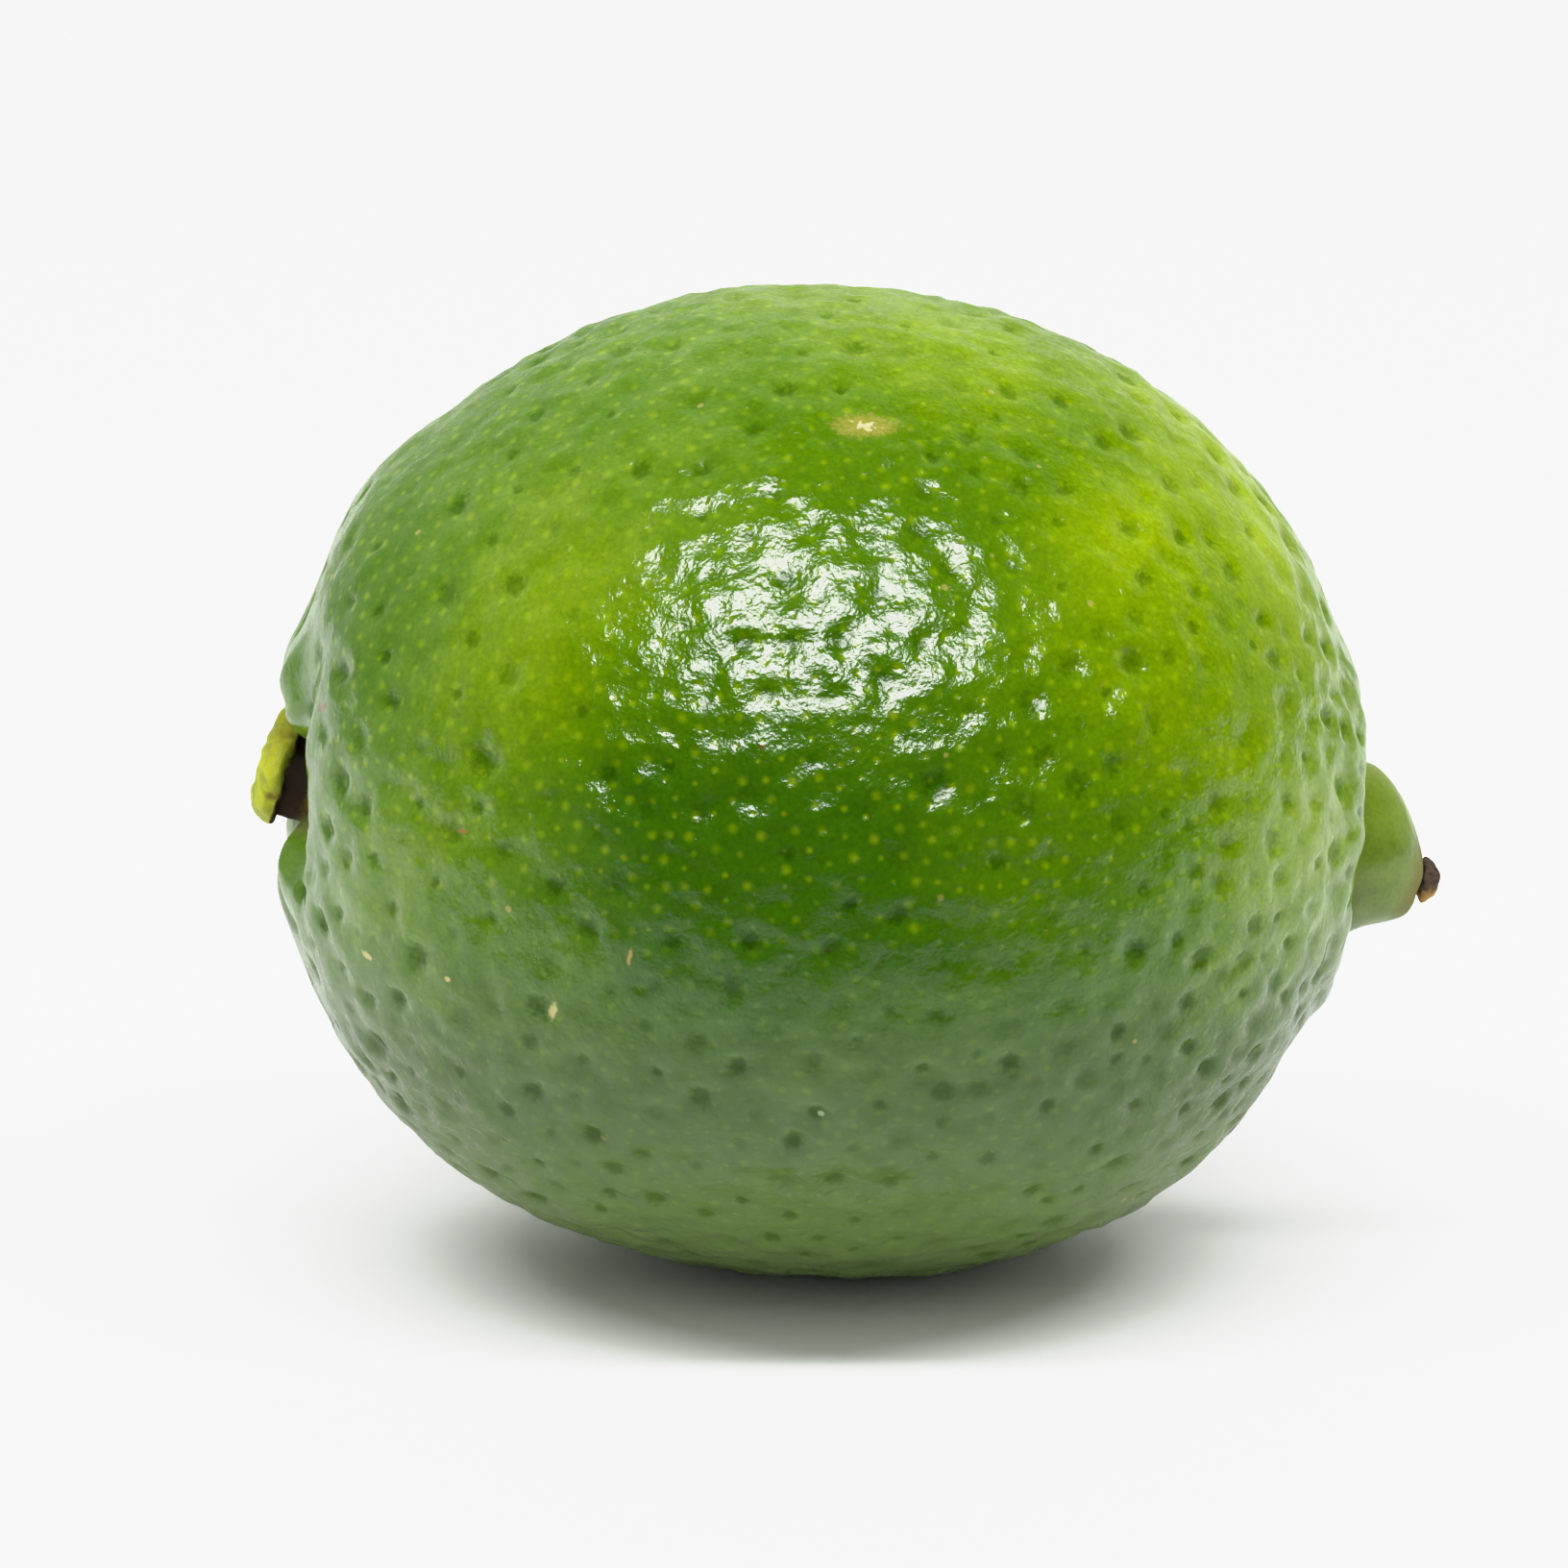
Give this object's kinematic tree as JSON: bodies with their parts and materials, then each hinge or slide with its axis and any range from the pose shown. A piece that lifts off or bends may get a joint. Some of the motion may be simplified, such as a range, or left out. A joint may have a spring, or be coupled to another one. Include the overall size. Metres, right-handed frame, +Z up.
{
  "type": "lime",
  "caption": "Whole ripe lime lying on its side, with a dimpled green rind, a lobed calyx button at the stem end and a blunt nipple at the other.",
  "frame": {"origin": "on the surface that the lime lies on, below the middle of its bounding box", "axes": "+X from the stem end to the nipple end, level; +Z up; -Y towards the side that is usually seen"},
  "size_m": [0.062, 0.0518, 0.0514],
  "materials": {
    "rind": "waxy, softly glossy citrus rind, finely dimpled, with yellow-green oil glands",
    "calyx": "matt, slightly wrinkled yellow-green sepal tissue, dark and dry at its edges",
    "dried_style": "dry, rough, dark brown plant tissue"
  },
  "bodies": {
    "root": {"lime_fruit": "rind", "calyx_button": "calyx", "style_stub": "dried_style"}
  },
  "joints": []
}
